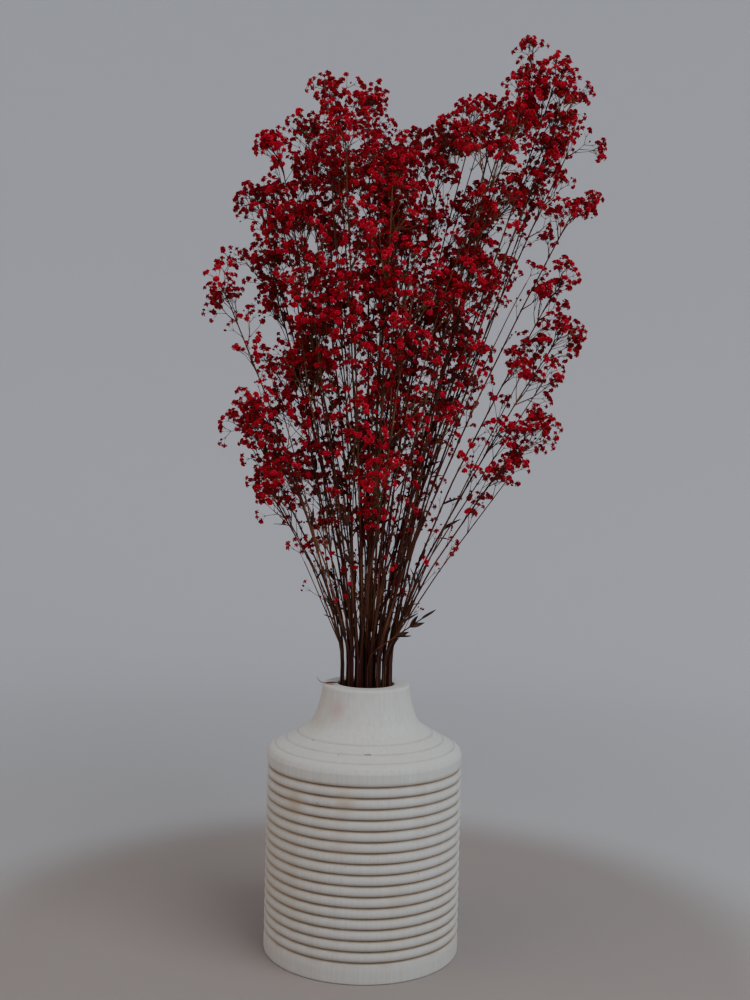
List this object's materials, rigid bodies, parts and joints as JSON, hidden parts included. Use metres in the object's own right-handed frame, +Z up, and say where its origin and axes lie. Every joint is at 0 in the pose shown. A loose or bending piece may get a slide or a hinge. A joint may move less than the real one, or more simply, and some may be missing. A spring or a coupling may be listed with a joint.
{
  "type": "preserved gypsophila in vase",
  "caption": "Dried crimson gypsophila sprays standing loose in the bored well of a turned, grooved, whitewashed wooden vase. Rests on its flat base.",
  "frame": {"origin": "centre of the vase's flat base, on its axis", "axes": "+Z up along the vase's axis and the stems; the picture's camera looks along +Y, with +X to its right"},
  "size_m": [0.2917, 0.1508, 0.6915],
  "materials": {
    "whitewashed_wood": "matt greyish whitewash over turned wood, brownish in the grooves",
    "floret": "matt dyed crimson petals, papery, darker at the calyx",
    "dried_stem": "matt dark maroon-brown dried stem, tan in places",
    "dried_leaf": "matt blackish brown dried leaf"
  },
  "bodies": {
    "root": {"vase": "whitewashed_wood", "spray_01": "floret", "spray_02": "floret", "spray_03": "floret", "spray_04": "floret", "spray_05": "floret", "spray_06": "floret", "spray_07": "floret", "spray_08": "floret", "spray_09": "floret", "spray_10": "floret", "spray_11": "floret", "spray_12": "floret", "spray_13": "floret", "spray_14": "floret", "spray_15": "floret", "spray_16": "floret", "spray_17": "floret", "spray_18": "floret", "spray_19": "floret", "spray_20": "floret", "spray_21": "floret", "spray_22": "floret", "spray_23": "floret", "spray_24": "floret", "spray_25": "floret", "spray_26": "floret", "spray_27": "floret", "spray_28": "floret", "spray_29": "floret", "spray_30": "floret", "spray_31": "floret", "spray_32": "floret", "spray_33": "floret", "spray_34": "floret", "spray_35": "floret", "leafy_stem_01": "dried_stem", "leafy_stem_02": "dried_stem", "fallen_leaf": "dried_leaf"}
  },
  "joints": []
}
